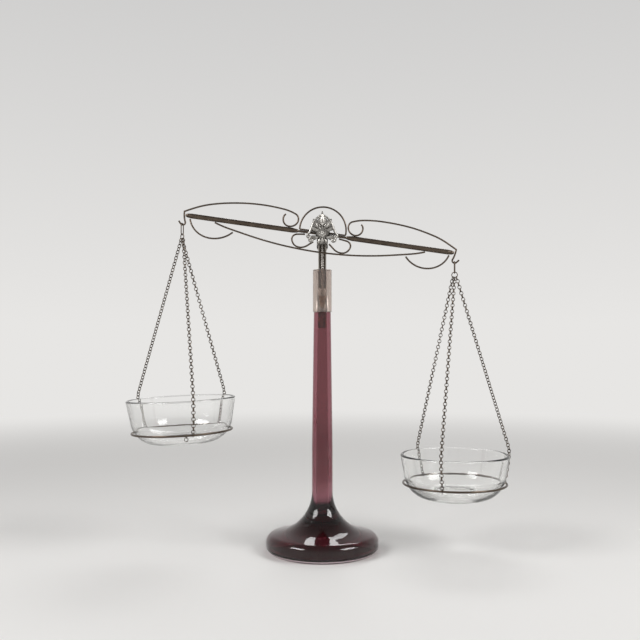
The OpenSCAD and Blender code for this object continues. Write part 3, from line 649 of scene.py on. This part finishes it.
def add_bead(bm, place, size, flat=1.0):
    bead = bmesh.ops.create_uvsphere(bm, u_segments=14, v_segments=9, radius=1)["verts"]
    bmesh.ops.scale(bm, verts=bead, vec=(size, size * flat, size))
    bmesh.ops.translate(bm, verts=bead, vec=place)


def through(points, steps=8):
    result = []
    padded = [points[0]] + points + [points[-1]]
    for a, b, c, d in zip(padded, padded[1:], padded[2:], padded[3:]):
        for i in range(steps):
            t = i / steps
            result.append(tuple(0.5 * (2 * q + (r - p) * t + (2 * p - 5 * q + 4 * r - s) * t * t
                                       + (3 * q - p - 3 * r + s) * t ** 3)
                                for p, q, r, s in zip(a, b, c, d)))
    return result + [points[-1]]


print("points in a full volute:", len(volute((0, 0), 2, 1, 0, 360)))

# %% [markdown]
# The scrolls are mirrored pairs: one over the body, one down the sides, one under them and a
# small one by the tip. A rosette of seven flattened beads sits over the pivot, and two round
# beads end the tip. The casting is then scaled to metres and moved to the pivot.

# %% Scrolls, rosette and tip
PIVOT = Vector((0, 0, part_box("pivot_pin")[0].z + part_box("pivot_pin")[1].z)) / 2
ARM = [(1.6, 17.8), (5.2, 15.6), (8.6, 11.4), (10.6, 6.2), (12.6, 1.6), (14.2, -0.6)]
LOW_ARM = [(4.2, -4.4), (7.4, -3.0), (10.4, -3.2), (12.2, -4.6)]
PETAL_R, PETAL_SIZE, ROSETTE_UP = 2.1, 1.3, -0.6
add_scroll(casting, volute((3.6, 8.0), 3.6, 0.7, 200, -500),
           thick=1.15, thin=0.5, front=6.9, lift=0.5)
add_scroll(casting, through(ARM) + volute((13.2, -2.6), 2.2, 0.6, 62, -380)[1:],
           thick=1.15, thin=0.6, front=5.4)
add_scroll(casting, through(LOW_ARM) + volute((10.8, -6.4), 2.3, 0.7, 52, -380)[1:],
           thick=1.35, thin=0.6, front=5.8)
add_scroll(casting, volute((2.1, 17.0), 2.0, 0.6, 250, 340), thick=0.8, thin=0.4, front=5.6)
for turn in range(0, 360, 60):
    across, up = (PETAL_R * f(math.radians(turn)) for f in (math.sin, math.cos))
    add_bead(casting, (across, -6.9, up + ROSETTE_UP), PETAL_SIZE, 0.6)
add_bead(casting, (0, -7.4, ROSETTE_UP), PETAL_SIZE, 0.7)
add_bead(casting, (0, -5.0, 20.6), 1.0)
add_bead(casting, (0, -5.0, 22.0), 0.6)
mesh = finished(casting, "casting")
mesh.transform(Matrix.Translation(PIVOT) @ Matrix.Scale(MM, 4))
casting = place_piece("casting", mesh, "stand", pewter)
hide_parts("front_ornament")
print("casting box mm:",
      [[round(f(v.co[k] for v in mesh.vertices) / MM, 1) for k in range(3)] for f in (min, max)])

# %% [markdown]
# ## The chains
# Four hundred links would be heavy as drawn, so each is made again from a ring of a few dozen
# faces. The drawing keeps one link's points together in its mesh, and every link has as many,
# so a block of points is a link: its mean is the link's centre, and the direction in which the
# block is thinnest is the link's axis. Real links are slightly longer than wide, so the ring is
# drawn in a little across the chain.


# %% Read the links' places
CHAINS = [side + "_" + where + "_chain" for side in ("left", "right")
          for where in ("front", "inner", "outer")]
POINTS_PER_LINK = 1849
LINK_R, LINK_WIRE_R, LINK_SQUEEZE = 1.975, 0.43, 0.86


def link_places(name):
    mesh = parts[name].data
    points = np.zeros(len(mesh.vertices) * 3, np.float32)
    mesh.vertices.foreach_get("co", points)
    blocks = points.reshape(-1, POINTS_PER_LINK, 3).astype(float)
    centres = blocks.mean(1)
    axes = [np.linalg.eigh(np.cov((b - c).T))[1][:, 0] for b, c in zip(blocks, centres)]
    widest = max(np.linalg.norm(b - c, axis=1).max() for b, c in zip(blocks, centres))
    print(name, "links:", len(centres), "reach of a link:", round(widest / MM, 3), "mm")
    return centres, np.array(axes)


places = {name: link_places(name) for name in CHAINS}

# %% [markdown]
# A link starts as a small circle of wire, spun round the link's own axis. It is then squeezed
# across, turned so that its length follows the chain, and moved to its place. Copies that share
# one link's mesh would be lighter still, but one mesh for each chain is simpler to ride and to
# export.


# %% Make the links
WIRE_SIDES, LINK_STEPS = 6, 12


def add_link(bm, centre, axis, along):
    ring = bmesh.ops.create_circle(bm, segments=WIRE_SIDES, radius=LINK_WIRE_R * MM)["verts"]
    bmesh.ops.rotate(bm, verts=ring, cent=(0, 0, 0), matrix=Matrix.Rotation(math.pi / 2, 3, "X"))
    bmesh.ops.translate(bm, verts=ring, vec=(LINK_R * MM, 0, 0))
    edges = list({e for v in ring for e in v.link_edges})
    before = set(bm.verts)
    bmesh.ops.spin(bm, geom=ring + edges, cent=(0, 0, 0), axis=(0, 0, 1),
                   angle=2 * math.pi, steps=LINK_STEPS, use_merge=True)
    new = ring + [v for v in bm.verts if v not in before]
    length = (along - axis * along.dot(axis)).normalized()
    across = axis.cross(length)
    bmesh.ops.scale(bm, verts=new, vec=(1, LINK_SQUEEZE, 1))
    bmesh.ops.rotate(bm, verts=new, cent=(0, 0, 0),
                     matrix=Matrix((length, across, axis)).transposed())
    bmesh.ops.translate(bm, verts=new, vec=centre)


for name, (centres, axes) in places.items():
    bm = bmesh.new()
    for i, (centre, axis) in enumerate(zip(centres, axes)):
        before, after = centres[max(i - 1, 0)], centres[min(i + 1, len(centres) - 1)]
        add_link(bm, Vector(centre), Vector(axis), Vector(after - before).normalized())
    side = name.split("_")[0]
    piece = place_piece(name + "_links", finished(bm, name + "_links"), side + "_pan",
                        chain_iron)
    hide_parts(name)

# %% [markdown]
# Two spare links dangle under the left hoop, beside the end of its front chain. The first goes
# round the hoop's wire and hangs from it, and the second hangs from the first. They are made by
# the same helper as the chains, only their places are worked out here from the hoop's.

# %% Hang the spare links
HOOP_WIRE_R, SPARE_AT = 1.05, math.radians(-76)
low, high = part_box("left_hoop")
outward = Vector((math.cos(SPARE_AT), math.sin(SPARE_AT), 0))
lean = Matrix.Rotation(math.radians(LEFT_LEAN), 4, "Y")
wire_at = (low + high) / 2 + lean @ (outward * HOOP_R["left"] * MM)
along_wire = Vector((-outward.y, outward.x, 0))
first = wire_at - Vector((0, 0, (LINK_R - LINK_WIRE_R - HOOP_WIRE_R) * MM))
second = first - Vector((0, 0, 2 * (LINK_R - LINK_WIRE_R) * MM))
bm = bmesh.new()
add_link(bm, first, along_wire, Vector((0, 0, 1)))
add_link(bm, second, outward, Vector((0, 0, 1)))
place_piece("spare_links", finished(bm, "spare_links"), "left_pan", chain_iron)
print("spare links hang", round((wire_at.z - second.z) / MM, 1), "mm under the hoop")

# %% [markdown]
# ## Studio
# The floor is one pale sheet. A curved backdrop would hide the far edge of a table, but it would
# show in the side views. So the floor is wide and fades, far from the balance, into the
# backdrop's colour. Only the rays that see it get that colour, so it lights nothing.


# %% Floor
BACKDROP = (0.80, 0.79, 0.775)
FLOOR_COLOUR = (0.78, 0.77, 0.755)
FLOOR_R, FADE_FROM, FADE_TO, FLOOR_DROP = 6, 0.45, 1.7, 0.3 * MM


def sight_rays(tree):
    path = add(tree, "ShaderNodeLightPath")
    seen = path.outputs["Is Camera Ray"]
    for name in ("Is Glossy Ray", "Is Transmission Ray"):
        seen = add(tree, "ShaderNodeMath", {0: seen, 1: path.outputs[name]},
                   operation="MAXIMUM").outputs[0]
    return seen


floor_finish, tree, shader = start_material("pale_floor")
shader.inputs["Base Color"].default_value = (*FLOOR_COLOUR, 1)
shader.inputs["Roughness"].default_value = 0.6
far = add(tree, "ShaderNodeVectorMath", {0: coordinates(tree)},
          operation="LENGTH").outputs["Value"]
fade = add(tree, "ShaderNodeMapRange", {"Value": far, "From Min": FADE_FROM,
           "From Max": FADE_TO}, interpolation_type="SMOOTHSTEP").outputs["Result"]
fade = add(tree, "ShaderNodeMath", {0: fade, 1: sight_rays(tree)}, operation="MULTIPLY").outputs[0]
glow = add(tree, "ShaderNodeEmission", {"Color": (*BACKDROP, 1)})
mix = add(tree, "ShaderNodeMixShader", {0: fade, 1: shader.outputs[0], 2: glow.outputs[0]})
tree.links.new(mix.outputs[0], tree.nodes["Material Output"].inputs["Surface"])
bm = bmesh.new()
bmesh.ops.create_circle(bm, cap_ends=True, segments=96, radius=FLOOR_R)
bmesh.ops.translate(bm, verts=bm.verts, vec=(0, 0, -FLOOR_DROP))
mesh = bpy.data.meshes.new("floor")
bm.to_mesh(mesh)
bm.free()
mesh.materials.append(floor_finish)
floor = bpy.data.objects.new("floor", mesh)
bpy.context.scene.collection.objects.link(floor)
print("floor radius:", FLOOR_R, "m")

# %% [markdown]
# The backdrop is the world. An even grey would do for metal and wood, but clear glass shows only
# what it bends, and needs something darker there to have edges. So the world that is seen, also
# through glass and in metal, is pale at the horizon and dimmer overhead. What it sheds on the
# object is another, even and weak: the fill.

# %% World
MIDWAY, OVERHEAD = (0.62, 0.615, 0.61), (0.30, 0.30, 0.30)
FILL = 0.28
world = bpy.data.worlds.new("studio")
bpy.context.scene.world = world
world.use_nodes = True
tree = world.node_tree
tree.nodes.clear()
direction = add(tree, "ShaderNodeTexCoord").outputs["Generated"]
up = add(tree, "ShaderNodeSeparateXYZ", {"Vector": direction}).outputs["Z"]
sky = ramp(tree, up, [(0.02, BACKDROP), (0.40, MIDWAY), (0.9, OVERHEAD)])
seen = add(tree, "ShaderNodeBackground", {"Color": sky, "Strength": 1})
fill = add(tree, "ShaderNodeBackground", {"Color": (1, 0.99, 0.98, 1), "Strength": FILL})
mix = add(tree, "ShaderNodeMixShader", {0: sight_rays(tree), 1: fill.outputs[0],
          2: seen.outputs[0]})
add(tree, "ShaderNodeOutputWorld", {"Surface": mix.outputs[0]})
print("world fill:", FILL)

# %% [markdown]
# Two soft boxes stand in front, left and right, as in the picture, where the foot shows their
# two white streaks, and a weaker one stands behind and above. Small lamps would give harder
# shadows and pinpoint glints, so each is an area lamp as wide as the balance or wider. With the
# fill, they light a white card to about white.


# %% Soft boxes
AIM, FRONT_SIZE, FRONT_WATTS = (0, 0, 0.12), (0.54, 0.36), 6.2
BACK_AIM, BACK_SIZE, BACK_WATTS = (0, 0, 0.15), (0.7, 0.35), 3.5


def soft_box(name, place, aim, size, watts):
    lamp = bpy.data.lights.new(name, "AREA")
    lamp.shape = "RECTANGLE"
    lamp.size, lamp.size_y = size
    lamp.energy = watts
    holder = bpy.data.objects.new(name, lamp)
    bpy.context.scene.collection.objects.link(holder)
    holder.location = place
    way = Vector(aim) - Vector(place)
    holder.rotation_euler = way.to_track_quat("-Z", "Y").to_euler()
    print(name, "at", place, "radiance", round(watts / (math.pi * size[0] * size[1]), 2))


soft_box("left_box", (-0.78, -0.45, 0.80), AIM, FRONT_SIZE, FRONT_WATTS)
soft_box("right_box", (0.80, -0.42, 0.78), AIM, FRONT_SIZE, FRONT_WATTS)
soft_box("back_box", (0.15, 0.9, 1.1), BACK_AIM, BACK_SIZE, BACK_WATTS)
